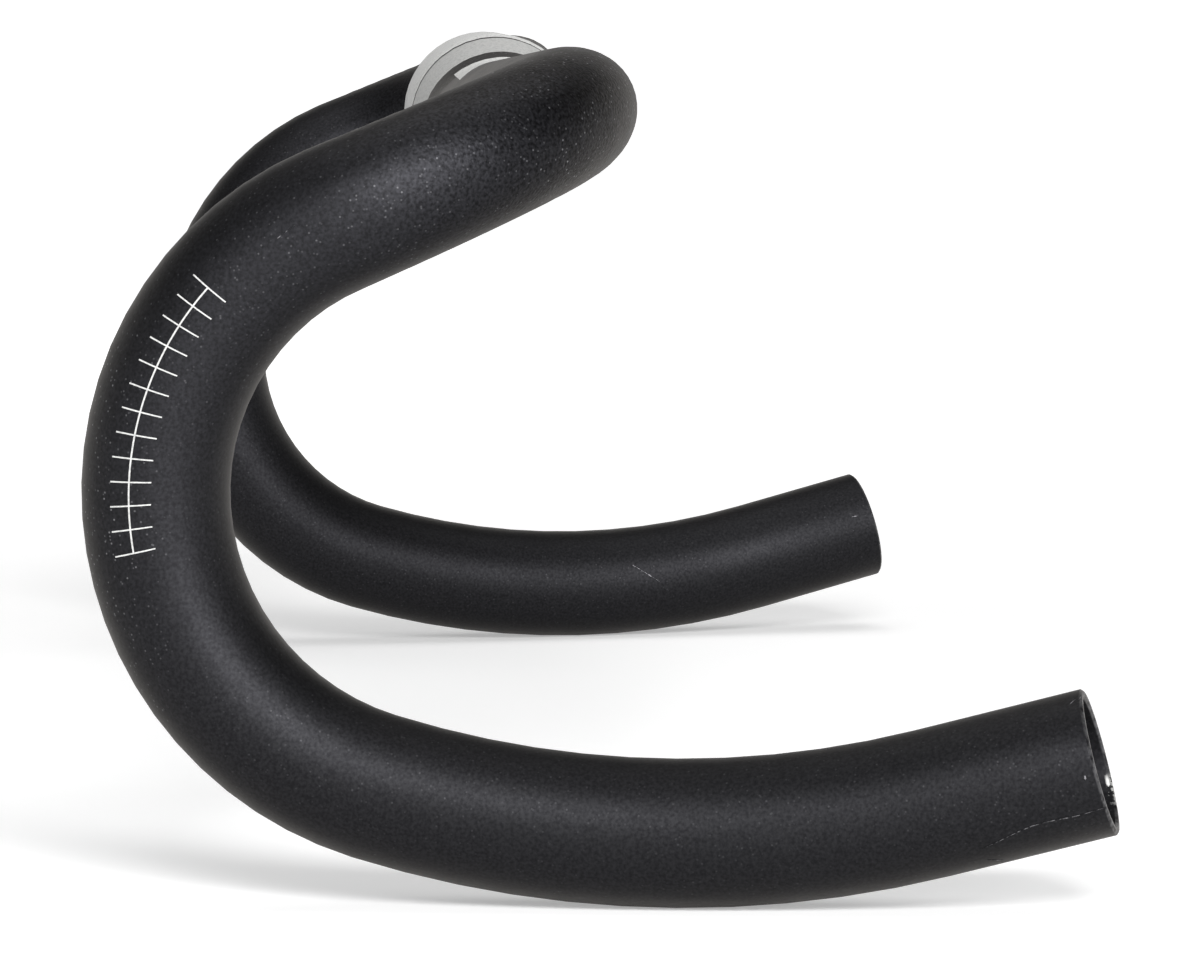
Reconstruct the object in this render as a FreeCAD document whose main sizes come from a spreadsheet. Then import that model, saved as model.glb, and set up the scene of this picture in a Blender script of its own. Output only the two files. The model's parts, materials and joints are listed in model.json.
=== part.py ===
import FreeCAD, Part
import enum
import math
import os

import Sketcher
from FreeCAD import Rotation, Vector

# A gravel bike's drop handlebar: one aluminium tube, swollen to the stem clamp size in the
# middle, with flattened tops, bent forward at each side into a hook and a flared drop.
# Its own frame has its origin at the middle of the stem clamp, +X to the rider's right,
# +Y forward and +Z up, with the whole bar turned nose down as it is shown standing on its drops.

# Driving dimensions, in millimetres and degrees
DIMENSIONS = {
    "tube_diameter": 23.8,    # outside of the round tube: hooks and drops
    "tube_wall": 1.6,
    "clamp_diameter": 31.8,   # outside of the stem clamp zone
    "clamp_wall": 2.2,
    "clamp_width": 90.0,      # full-diameter zone, both sides of the middle together
    "taper_length": 25.0,     # from the clamp diameter down to the tops, each side
    "tops_depth": 25.7,       # flattened tops, fore and aft
    "tops_height": 21.9,      # flattened tops, up and down
    "sweep_radius": 200.0,    # gentle bend that starts the backsweep
    "backsweep": 4.0,         # tops, backward from the clamp axis
    "bend_radius": 34.0,      # centre line of the bend from the tops to the hook
    "hood_width": 440.0,      # between the hooks' foremost points, centre to centre
    "flare": 10.0,            # plane of each hook and drop, outward to the rear
    "hook_radius": 48.5,      # centre line of the hook
    "hook_turn": 140.5,
    "drop_radius": 165.0,     # centre line of the long curve under the hand
    "drop_turn": 31.5,
    "end_length": 27.5,       # straight end of the drop, which takes the end plug
    "end_chamfer": 0.4,       # broken edges of the cut ends
    "rest_roll": 22.7,        # nose-down turn of the whole bar about the clamp axis
}

NEAR = 0.001                  # points closer than this are one point
# A sketch numbers the points of a line or arc from 1, and its own axes downward from -1.
# Its origin is the start of its X axis, and arcs run anticlockwise from start to end.
START, END, CENTRE = enum.IntEnum("Point", ["START", "END", "CENTRE"])
X_AXIS, Y_AXIS = (-axis for axis in enum.IntEnum("Axis", ["X", "Y"]))

os.makedirs("parts", exist_ok=True)
doc = FreeCAD.newDocument("gravel_drop_handlebar")
sheet = doc.addObject("Spreadsheet::Sheet", "Sizes")
for row, (name, value) in enumerate(DIMENSIONS.items(), start=1):
    sheet.set(f"A{row}", name)
    sheet.set(f"B{row}", str(value))
    sheet.setAlias(f"B{row}", name)
doc.recompute()

body = doc.addObject("PartDesign::Body", "handlebar")
body.Label = "handlebar"


def origin_plane(role):
    return next(plane for plane in body.Origin.OriginFeatures if plane.Role == role)


def edge_of(sketch, number):
    """The name of the edge that a line or arc of a sketch has become."""
    drawn = sketch.Geometry[number]
    middle = sketch.Placement.multVec(drawn.value((drawn.FirstParameter + drawn.LastParameter) / 2))
    return next(f"Edge{place}" for place, edge in enumerate(sketch.Shape.Edges, start=1)
                if edge.distToShape(Part.Vertex(middle))[0] < NEAR)


def sketch_on_plane(name, role):
    """A sketch on one of the body's own planes."""
    sketch = body.newObject("Sketcher::SketchObject", name)
    sketch.AttachmentSupport = [(origin_plane(role), "")]
    sketch.MapMode = "FlatFace"
    doc.recompute()
    return sketch


def sketch_at(name, line, run, point, mode):
    """A sketch at the start or end of one run of a centre line."""
    sketch = body.newObject("Sketcher::SketchObject", name)
    sketch.AttachmentSupport = [(line, edge_of(line, run))]
    sketch.MapMode = mode
    sketch.MapPathParameter = point == END
    doc.recompute()
    return sketch


def worth(sketch, formula):
    """What a formula of the sheet's cells comes to, in millimetres or radians."""
    value = sketch.evalExpression(formula)
    return value if isinstance(value, (int, float)) else value.getValueAs("rad").Value


def dimension(sketch, formula, kind, *where):
    """A sketch dimension that follows a formula of the sheet's cells."""
    number = sketch.addConstraint(Sketcher.Constraint(kind, *where, worth(sketch, formula)))
    sketch.setExpression(f"Constraints[{number}]", formula)


def draw_ring(sketch, outside, wall):
    """A round tube cut across: two circles about the sketch's origin."""
    for formula in (f"{outside} / 2", f"{outside} / 2 - {wall}"):
        circle = sketch.addGeometry(Part.Circle(Vector(), Vector(0, 0, 1), worth(sketch, formula)))
        sketch.addConstraint(Sketcher.Constraint("Coincident", circle, CENTRE, X_AXIS, START))
        dimension(sketch, formula, "Radius", circle)


def draw_flattened_ring(sketch):
    """The flattened tops cut across: two ellipses about the sketch's origin, lying level."""
    for inset in ("0", "2 * Sizes.tube_wall"):
        depth = f"Sizes.tops_depth - {inset}"
        height = f"Sizes.tops_height - {inset}"
        tip = Vector(worth(sketch, depth) / 2, 0, 0)
        crown = Vector(0, worth(sketch, height) / 2, 0)
        ellipse = sketch.addGeometry(Part.Ellipse(tip, crown, Vector()))
        sketch.exposeInternalGeometry(ellipse)
        depth_line, height_line = ellipse + 1, ellipse + 2
        sketch.addConstraint(Sketcher.Constraint("Coincident", ellipse, CENTRE, X_AXIS, START))
        sketch.addConstraint(Sketcher.Constraint("Horizontal", depth_line))
        dimension(sketch, depth, "Distance", depth_line)
        dimension(sketch, height, "Distance", height_line)


class TangentChain:
    """Straights and bends laid end to end in a sketch, each tangent to the one before."""

    def __init__(self, sketch, start):
        self.sketch = sketch
        self.point = start
        self.heading = 0.0          # anticlockwise from the sketch's X axis
        self.last = None            # number of the run before, and the point where it ends

    def add(self, shape, entry, leaving, construction=False):
        number = self.sketch.addGeometry(shape, construction)
        if self.last:
            self.sketch.addConstraint(Sketcher.Constraint("Tangent", *self.last, number, entry))
        self.last = (number, leaving)
        return number

    def straight(self, length, construction=False):
        """A straight run, drawn at about its length."""
        along = Vector(math.cos(self.heading), math.sin(self.heading), 0)
        begin = self.point
        self.point = begin + along * worth(self.sketch, length)
        return self.add(Part.LineSegment(begin, self.point), START, END, construction)

    def bend(self, radius, turn):
        """A bend with its radius and its turn, which is to the left where it is positive."""
        size = worth(self.sketch, radius)
        angle = worth(self.sketch, f"{turn} * 1 deg")
        to_centre = self.heading + math.copysign(math.pi / 2, angle)
        centre = self.point + Vector(math.cos(to_centre), math.sin(to_centre), 0) * size
        circle = Part.Circle(centre, Vector(0, 0, 1), size)
        first = to_centre + math.pi
        last = first + angle
        self.heading += angle
        self.point = circle.value(last)
        if angle > 0:
            number = self.add(Part.ArcOfCircle(circle, first, last), START, END)
        else:
            number = self.add(Part.ArcOfCircle(circle, last, first), END, START)
        dimension(self.sketch, radius, "Radius", number)
        dimension(self.sketch, f"abs({turn}) * 1 deg", "Angle", number)
        return number


def add_tube(name, section, line, runs, far_section=None):
    """A tube along runs of a centre line, which changes to its far section if it has one."""
    tube = body.newObject("PartDesign::AdditivePipe", name)
    tube.Profile = section
    tube.Spine = (line, [edge_of(line, run) for run in runs])
    if far_section:
        tube.Transformation = "Multisection"
        tube.Sections = [far_section]
    doc.recompute()


# Centre line of the right side in the level plane: backsweep, tops and the bend to the hook.
# The line on from that bend, as far as the hook's radius, ends at the hook's foremost point.
level_line = sketch_on_plane("level_line", "XY_Plane")
taper_end = "(Sizes.clamp_width / 2 + Sizes.taper_length)"
chain = TangentChain(level_line, Vector(worth(level_line, taper_end), 0, 0))
sweep = chain.bend("Sizes.sweep_radius", "-Sizes.backsweep")
straight = chain.straight(f"Sizes.hood_width / 2 - {taper_end} - Sizes.bend_radius")
top_bend = chain.bend("Sizes.bend_radius", "(90 + Sizes.backsweep + Sizes.flare)")
reach = chain.straight("Sizes.hook_radius", construction=True)
level_line.addConstraint(Sketcher.Constraint("PointOnObject", sweep, END, X_AXIS))
level_line.addConstraint(Sketcher.Constraint("Vertical", sweep, END, sweep, CENTRE))
dimension(level_line, taper_end, "DistanceX", X_AXIS, START, sweep, END)
dimension(level_line, "Sizes.hook_radius", "Distance", reach)
dimension(level_line, "Sizes.hood_width / 2", "DistanceX", X_AXIS, START, reach, END)
doc.recompute()

# Centre line of the hook and drop, in the upright plane that goes on from the bend
drop_line = sketch_at("drop_line", level_line, top_bend, END, "FrenetTB")
chain = TangentChain(drop_line, Vector())
hook = chain.bend("Sizes.hook_radius", "-Sizes.hook_turn")
hand_curve = chain.bend("Sizes.drop_radius", "-Sizes.drop_turn")
plug_end = chain.straight("Sizes.end_length")
drop_line.addConstraint(Sketcher.Constraint("Coincident", hook, END, X_AXIS, START))
drop_line.addConstraint(Sketcher.Constraint("PointOnObject", hook, CENTRE, Y_AXIS))
dimension(drop_line, "Sizes.end_length", "Distance", plug_end)
doc.recompute()

# Sections of the tube, from the clamp outward
clamp_section = sketch_on_plane("clamp_section", "YZ_Plane")
clamp_section.setExpression("AttachmentOffset.Base.z", "Sizes.clamp_width / 2")
draw_ring(clamp_section, "Sizes.clamp_diameter", "Sizes.clamp_wall")
tops_section = sketch_at("tops_section", level_line, sweep, END, "NormalToEdge")
draw_flattened_ring(tops_section)
bend_section = sketch_at("bend_section", level_line, top_bend, START, "NormalToEdge")
draw_flattened_ring(bend_section)
hook_section = sketch_at("hook_section", level_line, top_bend, END, "NormalToEdge")
draw_ring(hook_section, "Sizes.tube_diameter", "Sizes.tube_wall")
doc.recompute()

# Half of the stem clamp zone, and the taper that draws it down to the tops
clamp = body.newObject("PartDesign::Pad", "clamp")
clamp.Profile = clamp_section
clamp.Reversed = True
clamp.setExpression("Length", "Sizes.clamp_width / 2")
doc.recompute()
taper = body.newObject("PartDesign::AdditiveLoft", "taper")
taper.Profile = clamp_section
taper.Sections = [tops_section]
doc.recompute()

# The tops, the bend in which their flattened section turns round, then the hook and drop
add_tube("tops", tops_section, level_line, [sweep, straight])
add_tube("bend", bend_section, level_line, [top_bend], hook_section)
add_tube("drop", hook_section, drop_line, [hook, hand_curve, plug_end])

# The other side
both_sides = body.newObject("PartDesign::Mirrored", "both_sides")
both_sides.TransformMode = "Whole shape"
both_sides.MirrorPlane = (origin_plane("YZ_Plane"), [""])
body.Tip = both_sides
doc.recompute()

# Broken edges of the cut ends, which are the bar's only flat faces
cut_edges = [edge for face in both_sides.Shape.Faces if isinstance(face.Surface, Part.Plane)
             for edge in face.Edges]
cut_names = [f"Edge{place}" for place, edge in enumerate(both_sides.Shape.Edges, start=1)
             if any(edge.isSame(cut) for cut in cut_edges)]
broken_edges = body.newObject("PartDesign::Chamfer", "broken_edges")
broken_edges.Base = (both_sides, cut_names)
broken_edges.setExpression("Size", "Sizes.end_chamfer")
body.Tip = broken_edges

# Attitude on the drops
body.Placement.Rotation = Rotation(Vector(-1, 0, 0), sheet.rest_roll)
body.setExpression("Placement.Rotation.Angle", "Sizes.rest_roll * 1 deg")
doc.recompute()

failed = [item.Name for item in doc.Objects if {"Invalid", "Error"} & set(item.State)]
if failed:
    raise RuntimeError(f"not built: {failed}")
if body.Shape.isNull() or not body.Shape.isValid() or len(body.Shape.Solids) != 1:
    raise RuntimeError("the handlebar is not one sound solid")
body.Shape.exportStep(f"parts/{body.Label}.step")
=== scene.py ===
import json
import math

import bmesh
import bpy
from mathutils import Matrix, Vector
from mathutils.bvhtree import BVHTree


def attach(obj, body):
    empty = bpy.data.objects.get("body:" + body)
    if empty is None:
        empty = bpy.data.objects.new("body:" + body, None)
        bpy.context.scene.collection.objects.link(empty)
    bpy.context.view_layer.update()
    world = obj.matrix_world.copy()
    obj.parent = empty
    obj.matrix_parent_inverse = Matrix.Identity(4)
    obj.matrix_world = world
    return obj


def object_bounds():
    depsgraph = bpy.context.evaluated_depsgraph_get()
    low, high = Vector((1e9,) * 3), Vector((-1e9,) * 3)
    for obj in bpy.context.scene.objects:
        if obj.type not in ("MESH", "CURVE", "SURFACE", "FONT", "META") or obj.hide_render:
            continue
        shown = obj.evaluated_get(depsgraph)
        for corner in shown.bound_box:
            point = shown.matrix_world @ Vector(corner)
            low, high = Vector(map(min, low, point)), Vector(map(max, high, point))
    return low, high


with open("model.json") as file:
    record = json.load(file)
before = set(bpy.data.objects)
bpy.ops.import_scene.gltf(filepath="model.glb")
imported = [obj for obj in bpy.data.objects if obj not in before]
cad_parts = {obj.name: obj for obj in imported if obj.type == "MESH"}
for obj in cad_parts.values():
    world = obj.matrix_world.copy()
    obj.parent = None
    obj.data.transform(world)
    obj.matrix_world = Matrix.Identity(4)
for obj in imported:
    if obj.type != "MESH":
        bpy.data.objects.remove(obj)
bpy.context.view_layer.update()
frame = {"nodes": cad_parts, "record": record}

# The handlebar is one butted aluminium tube, bulged for the stem, bent cold to its drop shape and sawn off
# at both ends. It is then blasted with fine beads and anodised black all over.
tube = frame["nodes"]["handlebar"]
mounts = {mount["name"]: mount for mount in frame["record"]["mounts"]}
end_axis = Vector(mounts["bar_end_right"]["axis"])
bore_length = mounts["bar_end_right"]["dims"]["length_mm"] / 1000
end_chamfer = 0.0004
mouth = Vector(mounts["bar_end_right"]["pos_m"]) + end_axis * (bore_length / 2 + end_chamfer)


def linear(colour):
    """An sRGB hex colour as the linear colour that a shader takes."""
    parts = [int(colour[i:i + 2], 16) / 255 for i in (1, 3, 5)]
    return [c / 12.92 if c <= 0.04045 else ((c + 0.055) / 1.055) ** 2.4 for c in parts] + [1.0]


def add_node(tree, kind, inputs, **settings):
    """Adds a shader node with its settings, and sets each input to a value or links it to another's output.

    A colour Mix takes its factor at 0 and its two colours at 6 and 7, and gives output 2.
    """
    node = tree.nodes.new("ShaderNode" + kind)
    for name, value in settings.items():
        setattr(node, name, value)
    for socket, value in inputs.items():
        if isinstance(value, bpy.types.NodeSocket):
            tree.links.new(value, node.inputs[socket])
        else:
            node.inputs[socket].default_value = value
    return node


def new_material(name):
    """An empty node material, its node tree and the shader that its finish is set on."""
    material = bpy.data.materials.new(name)
    material.use_nodes = True
    tree = material.node_tree
    tree.nodes.clear()
    shader = add_node(tree, "BsdfPrincipled", {})
    add_node(tree, "OutputMaterial", {"Surface": shader.outputs["BSDF"]})
    return material, tree, shader


# Black anodised aluminium, bead-blasted: a dark cool grey with a soft wide highlight and a fine grain.
# Where single dents of the beads would catch the light, pale specks are painted into the colour as painted
# glints.
# The grain is drawn at 0.55 mm and the painted glints 0.85 mm apart, coarser than the real 0.1 mm, so that
# they show.
black, tree, shader = new_material("bead_blasted_black_anodised_aluminium")
grain_size, glint_spacing, cloud_size = 0.00055, 0.00085, 0.028
place = add_node(tree, "TexCoord", {})
skin = place.outputs["Object"]
grain = add_node(tree, "TexNoise", {"Vector": skin, "Scale": 1 / grain_size, "Detail": 1.0})
cloud = add_node(tree, "TexNoise", {"Vector": skin, "Scale": 1 / cloud_size, "Detail": 3.0})
# Painted glints: chosen cells of this pattern, pale near their middles, are painted into the colour.
cell = add_node(tree, "TexVoronoi", {"Vector": skin, "Scale": 1 / glint_spacing})
cell_draw = add_node(tree, "SeparateColor", {"Color": cell.outputs["Color"]})
chosen = add_node(tree, "MapRange", {"Value": cell_draw.outputs["Red"], "From Min": 0.35, "From Max": 1.0})
near_dent = add_node(
    tree, "MapRange", {"Value": cell.outputs["Distance"], "From Min": 0.26, "From Max": 0.10}
)
painted_glint = add_node(
    tree, "Math", {0: chosen.outputs["Result"], 1: near_dent.outputs["Result"]}, operation="MULTIPLY"
)

# The rear of the top bends and the tops are blasted coarser, with a bumpier grain. There the colour is
# painted darker, a painted shade, and most of the painted glints go there.
# The fronts of the hooks get a few painted glints too, and the colour is painted paler from the drops up to
# the ramps, a painted sheen.
bend_foot, bend_side = -0.03, -0.01
ramp_middle, bend_rear = 0.029, -0.006
hook_side, hook_front = 0.054, 0.066
hook_middle, ramp_foot = -0.06, -0.02
drop_middle = -0.1
apart = add_node(tree, "SeparateXYZ", {"Vector": skin})
across_bar, forward, upward = (apart.outputs[axis] for axis in "XYZ")
upper = add_node(
    tree,
    "MapRange",
    {"Value": upward, "From Min": bend_foot, "From Max": bend_side, "To Min": 0.03, "To Max": 1.0},
)
rear = add_node(
    tree,
    "MapRange",
    {"Value": forward, "From Min": ramp_middle, "From Max": bend_rear, "To Min": 0.1, "To Max": 1.0},
)
front = add_node(
    tree,
    "MapRange",
    {"Value": forward, "From Min": hook_side, "From Max": hook_front, "To Min": 0.0, "To Max": 0.8},
)
everywhere = add_node(
    tree,
    "MapRange",
    {"Value": upward, "From Min": hook_middle, "From Max": ramp_foot, "To Min": 0.07, "To Max": 0.17},
)
# The rear of the top bends: coarser bumps, a painted shade and most of the painted glints.
coarse_and_shaded = add_node(
    tree, "Math", {0: upper.outputs["Result"], 1: rear.outputs["Result"]}, operation="MULTIPLY"
)
glinting_bends = add_node(tree, "Math", {0: coarse_and_shaded.outputs[0], 1: 4.0}, operation="POWER")
bends_and_fronts = add_node(
    tree, "Math", {0: glinting_bends.outputs[0], 1: front.outputs["Result"]}, operation="MAXIMUM"
)
# Where the painted glints go: mostly the rear of the top bends and the hook fronts, and a few everywhere.
painted_glint_places = add_node(
    tree, "Math", {0: bends_and_fronts.outputs[0], 1: everywhere.outputs["Result"]}, operation="MAXIMUM"
)
patchy = add_node(
    tree,
    "MapRange",
    {"Value": cloud.outputs["Fac"], "From Min": 0.4, "From Max": 0.6, "To Min": 0.4, "To Max": 1.0},
)
patchy_painted_glints = add_node(
    tree, "Math", {0: painted_glint_places.outputs[0], 1: patchy.outputs["Result"]}, operation="MULTIPLY"
)
shown = add_node(tree, "Math", {0: painted_glint.outputs[0], 1: patchy_painted_glints.outputs[0]}, operation="MULTIPLY")
tone = add_node(tree, "MapRange", {"Value": grain.outputs["Fac"], "From Min": 0.3, "From Max": 0.7})
# Painted sheen: the colour is painted paler from the drops up to the ramps, as if lit more there.
painted_sheen_rise = add_node(tree, "MapRange", {"Value": upward, "From Min": drop_middle, "From Max": ramp_foot})
drop_dye = add_node(
    tree, "Mix", {0: tone.outputs["Result"], 6: linear("#212123"), 7: linear("#2C2C2E")}, data_type="RGBA"
)
ramp_painted_sheen = add_node(
    tree, "Mix", {0: tone.outputs["Result"], 6: linear("#272729"), 7: linear("#333336")}, data_type="RGBA"
)
# Painted shade with a coarser grain: the rear of the top bends is painted darker, with a wider spread of
# tone.
bend_grain_and_painted_shade = add_node(
    tree, "Mix", {0: tone.outputs["Result"], 6: linear("#111113"), 7: linear("#2E2E31")}, data_type="RGBA"
)
smooth_with_painted_sheen = add_node(
    tree,
    "Mix",
    {0: painted_sheen_rise.outputs["Result"], 6: drop_dye.outputs[2], 7: ramp_painted_sheen.outputs[2]},
    data_type="RGBA",
)
dye_with_painted_sheen_and_shade = add_node(
    tree, "Mix", {0: coarse_and_shaded.outputs[0], 6: smooth_with_painted_sheen.outputs[2], 7: bend_grain_and_painted_shade.outputs[2]}, data_type="RGBA"
)
# The painted glints are mixed into the colour as pale specks, standing in for dents catching the light.
with_painted_glints = add_node(
    tree, "Mix", {0: shown.outputs[0], 6: dye_with_painted_sheen_and_shade.outputs[2], 7: linear("#B4B4B8")}, data_type="RGBA"
)

# At the sawn mouths the black skin is worn grey along the edge, and has chipped off the lower inboard lip
# in ragged bits of about a millimetre.
chip_size = 0.0011
worn_foot, worn_top = -0.0005, -0.0002
lip_foot, lip_top = -0.0010, -0.0007
wall_middle, wall_inside = 0.0114, 0.0111
inboard_start, inboard_full = -0.006, -0.008
lower_start, lower_full = -0.0029, -0.0042
one_side = add_node(tree, "Math", {0: across_bar}, operation="ABSOLUTE")
folded = add_node(tree, "CombineXYZ", {"X": one_side.outputs[0], "Y": forward, "Z": upward})
from_mouth = add_node(tree, "VectorMath", {0: folded.outputs[0], 1: mouth}, operation="SUBTRACT")
height = add_node(tree, "VectorMath", {0: from_mouth.outputs[0], 1: end_axis}, operation="DOT_PRODUCT")
depth = height.outputs["Value"]
raised = add_node(tree, "VectorMath", {0: end_axis, "Scale": depth}, operation="SCALE")
across = add_node(
    tree, "VectorMath", {0: from_mouth.outputs[0], 1: raised.outputs[0]}, operation="SUBTRACT"
)
radius = add_node(tree, "VectorMath", {0: across.outputs[0]}, operation="LENGTH")
across_parts = add_node(tree, "SeparateXYZ", {"Vector": across.outputs[0]})
ragged = add_node(tree, "TexNoise", {"Vector": skin, "Scale": 1 / chip_size, "Detail": 2.0})
edge = add_node(tree, "MapRange", {"Value": depth, "From Min": worn_foot, "From Max": worn_top})
rubbed = add_node(tree, "MapRange", {"Value": ragged.outputs["Fac"], "From Min": 0.35, "From Max": 0.65})
worn = add_node(
    tree, "Math", {0: edge.outputs["Result"], 1: rubbed.outputs["Result"]}, operation="MULTIPLY"
)
greyed = add_node(
    tree, "Mix", {0: worn.outputs[0], 6: with_painted_glints.outputs[2], 7: linear("#69696B")}, data_type="RGBA"
)
lip = add_node(tree, "MapRange", {"Value": depth, "From Min": lip_foot, "From Max": lip_top})
inner = add_node(
    tree, "MapRange", {"Value": radius.outputs["Value"], "From Min": wall_middle, "From Max": wall_inside}
)
inboard = add_node(
    tree,
    "MapRange",
    {"Value": across_parts.outputs["X"], "From Min": inboard_start, "From Max": inboard_full},
)
under = add_node(
    tree,
    "MapRange",
    {"Value": across_parts.outputs["Z"], "From Min": lower_start, "From Max": lower_full},
)
chipped = add_node(tree, "MapRange", {"Value": ragged.outputs["Fac"], "From Min": 0.50, "From Max": 0.53})
lower_side = add_node(
    tree, "Math", {0: inboard.outputs["Result"], 1: under.outputs["Result"]}, operation="MULTIPLY"
)
lip_inner = add_node(
    tree, "Math", {0: lip.outputs["Result"], 1: inner.outputs["Result"]}, operation="MULTIPLY"
)
chip_side = add_node(
    tree, "Math", {0: lip_inner.outputs[0], 1: lower_side.outputs[0]}, operation="MULTIPLY"
)
bare = add_node(
    tree, "Math", {0: chip_side.outputs[0], 1: chipped.outputs["Result"]}, operation="MULTIPLY"
)
cut = add_node(
    tree, "Mix", {0: bare.outputs[0], 6: greyed.outputs[2], 7: linear("#DCDCDA")}, data_type="RGBA"
)
matt = add_node(
    tree,
    "MapRange",
    {"Value": cloud.outputs["Fac"], "From Min": 0.3, "From Max": 0.7, "To Min": 0.49, "To Max": 0.57},
)
blasted = add_node(
    tree, "Bump", {"Height": grain.outputs["Fac"], "Strength": coarse_and_shaded.outputs[0], "Distance": 0.0001}
)
shader.inputs["Metallic"].default_value = 1.0
shader.inputs["Specular Tint"].default_value = linear("#FFFCF8")
tree.links.new(cut.outputs[2], shader.inputs["Base Color"])
tree.links.new(matt.outputs["Result"], shader.inputs["Roughness"])
tree.links.new(blasted.outputs["Normal"], shader.inputs["Normal"])
tube.material_slots[0].material = black

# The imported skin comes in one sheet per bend, so the sheets are joined where they meet and shaded as one
# smooth tube, with a crisp edge kept at the sawn mouths.
joined = tube.modifiers.new("joined_sheets", "WELD")
joined.merge_threshold = 0.000002
crisp = tube.modifiers.new("crisp_mouths", "EDGE_SPLIT")
crisp.split_angle = math.radians(30)
even = tube.modifiers.new("even_shading", "WEIGHTED_NORMAL")
even.mode = "CORNER_ANGLE"

# The lever scale is a ladder of thirteen ticks on a line, screen-printed in white on the outer face of each
# hook, by which both brake levers are set at the same height. The ink is a film on the anodised tube.
surface = BVHTree.FromObject(tube, bpy.context.evaluated_depsgraph_get())
film_lift, film_depth, film_seam = 0.00005, 0.00009, 0.000002


def laid(point):
    """The place on the tube's skin nearest to a point, lifted by the film's height."""
    spot, normal, _, _ = surface.find_nearest(point)
    return spot + normal * film_lift


def film(name, patches, finish):
    """A thin film laid on the tube: each patch is rows of points, joined to a sheet and thickened."""
    mesh = bmesh.new()
    for rows in patches:
        grid = [[mesh.verts.new(laid(point)) for point in row] for row in rows]
        for row, following in zip(grid, grid[1:]):
            for a, b, c, d in zip(row, row[1:], following[1:], following):
                face = mesh.faces.new((a, b, c, d))
                face.smooth = True
    bmesh.ops.remove_doubles(mesh, verts=mesh.verts, dist=film_seam)
    mesh.normal_update()
    for face in mesh.faces:
        middle = face.calc_center_median()
        if face.normal.dot(surface.find_nearest(middle)[1]) < 0:
            face.normal_flip()
    data = bpy.data.meshes.new(name)
    mesh.to_mesh(data)
    mesh.free()
    data.materials.append(finish)
    piece = bpy.data.objects.new(name, data)
    bpy.context.scene.collection.objects.link(piece)
    thickness = piece.modifiers.new("film", "SOLIDIFY")
    thickness.thickness = film_depth
    thickness.offset = -1.0
    crisp_edge = piece.modifiers.new("crisp_edge", "EDGE_SPLIT")
    crisp_edge.split_angle = math.radians(40)
    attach(piece, "root")


# Screen-printed ink: a flat matt film, a little thin where the mesh of the screen and the blasted grain
# show through. The mesh is drawn at 0.5 mm, coarser than the real 0.1 mm, so that it shows.
def printed_ink(name, full, thin):
    """A matt ink with the colour of its full and of its thin places."""
    screen_mesh, ink_tooth = 0.0005, 0.00004
    ink, tree, shader = new_material(name)
    place = add_node(tree, "TexCoord", {})
    screen = add_node(
        tree, "TexNoise", {"Vector": place.outputs["Object"], "Scale": 1 / screen_mesh, "Detail": 3.0}
    )
    cover = add_node(
        tree, "MapRange", {"Value": screen.outputs["Fac"], "From Min": 0.34, "From Max": 0.56}
    )
    colour = add_node(
        tree, "Mix", {0: cover.outputs["Result"], 6: linear(thin), 7: linear(full)}, data_type="RGBA"
    )
    tooth = add_node(
        tree, "Bump", {"Height": screen.outputs["Fac"], "Strength": 0.3, "Distance": ink_tooth}
    )
    tree.links.new(colour.outputs[2], shader.inputs["Base Color"])
    tree.links.new(tooth.outputs["Normal"], shader.inputs["Normal"])
    shader.inputs["Roughness"].default_value = 0.55
    return ink


white_ink = printed_ink("screen_printed_white_ink", "#CDCDCB", "#B4B4B3")

tube_radius, hook_radius = 0.0119, 0.0485
flare, rest_roll, band_turn = math.radians(10.0), math.radians(22.7), math.radians(40.0)
tick_count, first_tick, tick_pitch = 13, math.radians(24.1), math.radians(4.29)
tick_width, line_width = 0.00022, 0.00027
line_start, line_end = math.radians(12.8), math.radians(9.8)
tick_over, tick_under, tick_lean = math.radians(16.3), math.radians(17.4), 0.02
tick_steps, line_steps = 14, 4
half_tick, half_line = tick_width / 2 / hook_radius, line_width / 2 / tube_radius
line_drift = (line_end - line_start) / (tick_count - 1)

for side, name in ((1, "right"), (-1, "left")):
    band = mounts["lever_band_" + name]
    along = Vector(band["axis"])
    outboard = Vector((
        side * math.cos(flare),
        math.sin(flare) * math.cos(rest_roll),
        -math.sin(flare) * math.sin(rest_roll),
    ))
    inward = along.cross(outboard) * side
    hook_centre = Vector(band["pos_m"]) + inward * hook_radius

    def on_hook(turn, around):
        """A point on the hook's skin, by its turn along the hook and around the section from outboard."""
        swing = turn - band_turn
        out = along * math.sin(swing) - inward * math.cos(swing)
        reach = hook_radius + tube_radius * math.sin(around)
        return hook_centre + out * reach + outboard * (tube_radius * math.cos(around))

    patches = []
    for tick in range(tick_count):
        middle = line_start + (line_end - line_start) * tick / (tick_count - 1)
        turn = first_tick + tick_pitch * tick
        rows = []
        for step in range(tick_steps + 1):
            around = middle - tick_under + (tick_over + tick_under) * step / tick_steps
            lean = turn + (around - middle) * tick_lean
            rows.append([on_hook(lean - half_tick, around), on_hook(lean + half_tick, around)])
        patches.append(rows)
        if tick + 1 < tick_count:
            rows = []
            for step in range(line_steps + 1):
                part = step / line_steps
                here = turn + half_tick + (tick_pitch - 2 * half_tick) * part
                around = middle + line_drift * part
                rows.append([on_hook(here, around - half_line), on_hook(here, around + half_line)])
            patches.append(rows)
    film("lever_scale_" + name, patches, white_ink)

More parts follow.
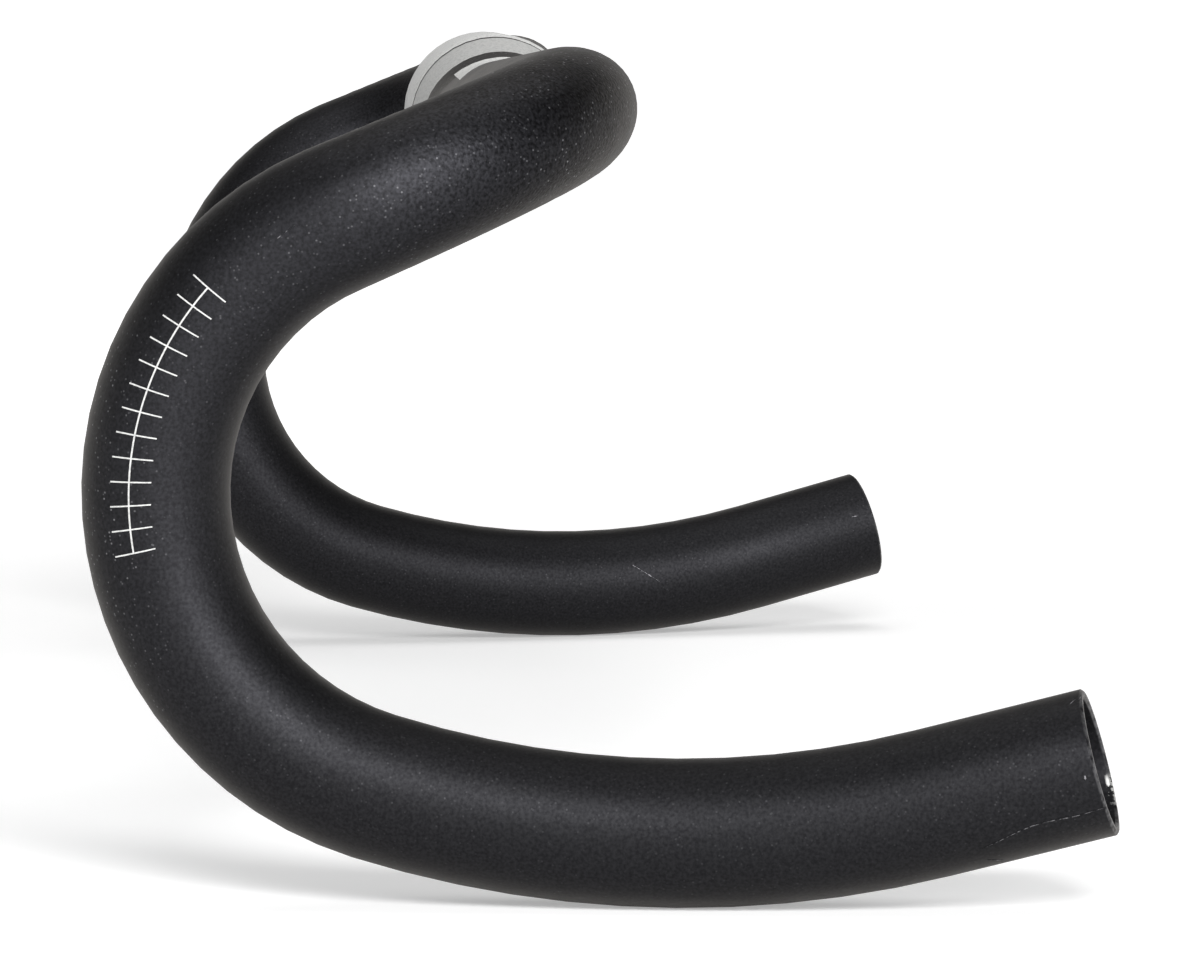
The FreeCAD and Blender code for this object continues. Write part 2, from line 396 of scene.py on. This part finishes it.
# The stem's place in the middle is printed pale all round, with fine lines every 10 mm by which the stem is
# centred. A grey ring on each taper and a plain white stripe on each top frame it. All of it is ink
# screened on the black, the same on both sides.
grey_ink = printed_ink("screen_printed_grey_ink", "#B0B0AE", "#9A9A99")
line_pitch, line_gap, line_total = 0.010, 0.0004, 5
shoulder, clamp_edge, band_start, band_end = 0.045, 0.0478, 0.0491, 0.0620
stripe_inner, stripe_front, stripe_back = 0.0675, 0.096, 0.0690
stripe_low, stripe_high = math.radians(48), math.radians(115)
ring_steps, band_columns, stripe_steps, stripe_columns = 180, 16, 40, 24
full_turn, clear_of_bar = 2 * math.pi, 0.03


def round_bar(columns, start, end, steps):
    """Rows of points round the bar between two angles: each column has its place along the bar at both."""
    rows = []
    for step in range(steps + 1):
        part = step / steps
        angle = start + (end - start) * part
        out = Vector((0.0, math.cos(angle), math.sin(angle)))
        row = []
        for first, last in columns:
            above = Vector((first + (last - first) * part, 0.0, 0.0)) + out * clear_of_bar
            row.append(surface.ray_cast(above, -out)[0])
        rows.append(row)
    return rows


for side, name in ((1, "right"), (-1, "left")):
    rings = []
    for line in range(line_total):
        start = line * line_pitch + line_gap / 2
        stops = (start, (line + 1) * line_pitch - line_gap / 2)
        if line + 1 == line_total:
            stops = (start, shoulder, clamp_edge)
        rings.append(round_bar([(side * x, side * x) for x in stops], 0.0, full_turn, ring_steps))
    film("clamp_rings_" + name, rings, white_ink)
    columns = []
    for i in range(band_columns + 1):
        x = side * (band_start + (band_end - band_start) * i / band_columns)
        columns.append((x, x))
    taper = round_bar(columns, 0.0, full_turn, ring_steps)
    film("taper_ring_" + name, [taper], grey_ink)
    columns = []
    for i in range(stripe_columns + 1):
        x_front = side * (stripe_inner + (stripe_front - stripe_inner) * i / stripe_columns)
        x_back = side * (stripe_inner + (stripe_back - stripe_inner) * i / stripe_columns)
        columns.append((x_front, x_back))
    stripe = round_bar(columns, stripe_low, stripe_high, stripe_steps)
    film("tops_stripe_" + name, [stripe], white_ink)

# Scratches from handling: short strokes and nicks through the black skin, down to the aluminium under it,
# which glints pale in broken bits. Each is a narrow lens of bare metal, as thin as the ink.
scratched, tree, shader = new_material("scratched_bare_aluminium")
scrape_size = 0.0006
place = add_node(tree, "TexCoord", {})
scrape = add_node(
    tree, "TexNoise", {"Vector": place.outputs["Object"], "Scale": 1 / scrape_size, "Detail": 3.0}
)
broken = add_node(tree, "MapRange", {"Value": scrape.outputs["Fac"], "From Min": 0.42, "From Max": 0.6})
bared = add_node(
    tree, "Mix", {0: broken.outputs["Result"], 6: linear("#29292B"), 7: linear("#828184")}, data_type="RGBA"
)
tree.links.new(bared.outputs[2], shader.inputs["Base Color"])
shader.inputs["Metallic"].default_value = 1.0
shader.inputs["Roughness"].default_value = 0.45

# Each stroke has its half width in metres, and its path in millimetres.
strokes = {
    "end_scratch": (
        0.00009,
        (
            (-247.4, -71.1, -111.5),
            (-250.1, -78.1, -107.8),
            (-250.8, -81.8, -106.8),
            (-251.3, -85.7, -106.0),
            (-252.2, -89.7, -104.7),
        ),
    ),
    "end_short_scratch": (0.00008, ((-245.0, -72.0, -113.6), (-243.9, -74.8, -113.7))),
    "end_chip": (0.00018, ((-253.4, -86.7, -99.4), (-253.4, -86.8, -100.1))),
    "rim_nick": (0.00012, ((-246.8, -85.1, -88.9), (-246.0, -86.1, -88.2))),
    "rim_second_nick": (0.00010, ((-246.6, -86.5, -88.3), (-244.9, -87.1, -87.8))),
    "far_end_scratch": (0.00007, ((230.4, -86.6, -96.2), (230.3, -87.9, -95.9))),
    "far_drop_scuff": (0.00006, ((221.2, -35.9, -105.6), (221.3, -42.4, -109.6))),
    "ramp_scratch": (0.00008, ((-238.7, 38.8, -15.2), (-239.3, 35.6, -12.8))),
    "bend_speck": (0.00022, ((-219.7, 3.8, 10.5), (-219.7, 4.2, 10.4))),
}
stroke_steps, blunt_end, thinnest, unevenness = 10, 0.15, 0.4, 2.4
for name, (half_width, path) in strokes.items():
    path = [Vector(point) / 1000 for point in path]
    rows = []
    for step in range(stroke_steps + 1):
        part = step / stroke_steps * (len(path) - 1)
        leg = min(int(part), len(path) - 2)
        spot = path[leg].lerp(path[leg + 1], part - leg)
        normal = surface.find_nearest(spot)[1]
        aside = normal.cross(path[leg + 1] - path[leg]).normalized()
        lens = max(blunt_end, math.sin(math.pi * step / stroke_steps) ** 0.5)
        swell = half_width * lens * (thinnest + (1 - thinnest) * abs(math.sin(unevenness * step)))
        rows.append([spot - aside * swell, spot + aside * swell])
    film(name, [rows], scratched)

# The studio floor is a sweep of matt white paper, flat under the bar, curved up all round it and highest
# behind it. The paper shows white to the camera and in reflections, and keeps the soft shadow of the drops.
floor_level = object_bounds()[0][2]
paper, tree, shader = new_material("matt_white_paper")
glow_start, glow_full, glow_near, glow_far = 0.3, 1.2, 0.35, 0.95
shader.inputs["Base Color"].default_value = linear("#E6E6E6")
shader.inputs["Roughness"].default_value = 1.0
shader.inputs["Emission Color"].default_value = linear("#FFFFFF")
ray = add_node(tree, "LightPath", {})
mirrored = add_node(
    tree,
    "Math",
    {0: ray.outputs["Is Glossy Ray"], 1: ray.outputs["Is Transmission Ray"]},
    operation="MAXIMUM",
)
seen = add_node(
    tree, "Math", {0: ray.outputs["Is Camera Ray"], 1: mirrored.outputs[0]}, operation="MAXIMUM"
)
place = add_node(tree, "TexCoord", {})
flat_place = add_node(
    tree, "VectorMath", {0: place.outputs["Object"], 1: (1.0, 1.0, 0.0)}, operation="MULTIPLY"
)
from_middle = add_node(tree, "VectorMath", {0: flat_place.outputs[0]}, operation="LENGTH")
outward = add_node(
    tree,
    "MapRange",
    {
        "Value": from_middle.outputs["Value"],
        "From Min": glow_start,
        "From Max": glow_full,
        "To Min": glow_near,
        "To Max": glow_far,
    },
)
glow = add_node(tree, "Math", {0: seen.outputs[0], 1: outward.outputs["Result"]}, operation="MULTIPLY")
tree.links.new(glow.outputs[0], shader.inputs["Emission Strength"])

flat_start, flat_step, flat_rings = 0.4, 0.6, 9
sweep_reach, sweep_bend, bend_steps, sweep_sides = 5.2, 0.8, 8, 96
wall_front, wall_behind = 1.3, 3.2
mesh = bmesh.new()
rings = []
for side in range(sweep_sides):
    turn = 2 * math.pi * side / sweep_sides
    profile = [(flat_start + flat_step * ring, 0.0) for ring in range(flat_rings)]
    for step in range(1, bend_steps + 1):
        bend = math.pi / 2 * step / bend_steps
        profile.append((sweep_reach + sweep_bend * math.sin(bend), sweep_bend * (1 - math.cos(bend))))
    wall = wall_front + (wall_behind - wall_front) * max(0.0, math.cos(turn))
    profile.append((sweep_reach + sweep_bend, wall))
    rings.append([
        mesh.verts.new((reach * math.cos(turn), reach * math.sin(turn), floor_level + rise))
        for reach, rise in profile
    ])
mesh.faces.new([ring[0] for ring in rings])
for ring, following in zip(rings, rings[1:] + rings[:1]):
    for a, b, c, d in zip(ring, ring[1:], following[1:], following):
        mesh.faces.new((a, b, c, d)).smooth = True
mesh.normal_update()
data = bpy.data.meshes.new("paper_sweep")
mesh.to_mesh(data)
mesh.free()
data.materials.append(paper)
sweep = bpy.data.objects.new("paper_sweep", data)
bpy.context.scene.collection.objects.link(sweep)

# The studio light comes from three softboxes, lamps behind white cloth: a wide one overhead, one high in
# front of the near side, and a small low one. The pale room adds a little from all round.
world = bpy.data.worlds.new("studio")
world.use_nodes = True
world.node_tree.nodes["Background"].inputs["Color"].default_value = linear("#FFFFFF")
world.node_tree.nodes["Background"].inputs["Strength"].default_value = 0.12
bpy.context.scene.world = world


def softbox(name, spot, target, width, height, power):
    """A rectangular lamp behind white cloth, turned to its target."""
    lamp = bpy.data.lights.new(name, "AREA")
    lamp.shape = "RECTANGLE"
    lamp.size, lamp.size_y, lamp.energy = width, height, power
    holder = bpy.data.objects.new(name, lamp)
    holder.location = spot
    holder.rotation_euler = (Vector(target) - Vector(spot)).to_track_quat("-Z", "Y").to_euler()
    bpy.context.scene.collection.objects.link(holder)


softbox("overhead_softbox", (0.1, -0.05, 1.25), (0.0, 0.0, -0.1), width=1.3, height=1.3, power=8.5)
softbox("front_softbox", (-1.60, -0.14, 0.74), (-0.1, 0.0, -0.05), width=0.7, height=0.5, power=31.0)
softbox("low_softbox", (-1.60, -0.62, 0.32), (-0.2, 0.0, -0.05), width=0.4, height=0.4, power=10.5)

# The camera looks along the bar's width from its left end, from far off through a long lens, a little from
# above.
camera_data = bpy.data.cameras.new("camera")
camera_data.sensor_width = 36.0
camera_data.lens = 200.4
camera_data.clip_end = 20.0
camera = bpy.data.objects.new("camera", camera_data)
camera_spot = (-1.286496, 0.027125, 0.021701)
yaw, pitch, roll = (math.radians(angle) for angle in (2.132, 4.097, 0.457))
camera.matrix_world = (
    Matrix.Translation(camera_spot)
    @ Matrix.Rotation(-math.pi / 2 - yaw, 4, "Z")
    @ Matrix.Rotation(math.pi / 2 - pitch, 4, "X")
    @ Matrix.Rotation(-roll, 4, "Z")
)
bpy.context.scene.collection.objects.link(camera)
bpy.context.scene.camera = camera
bpy.context.scene.view_settings.view_transform = "Standard"
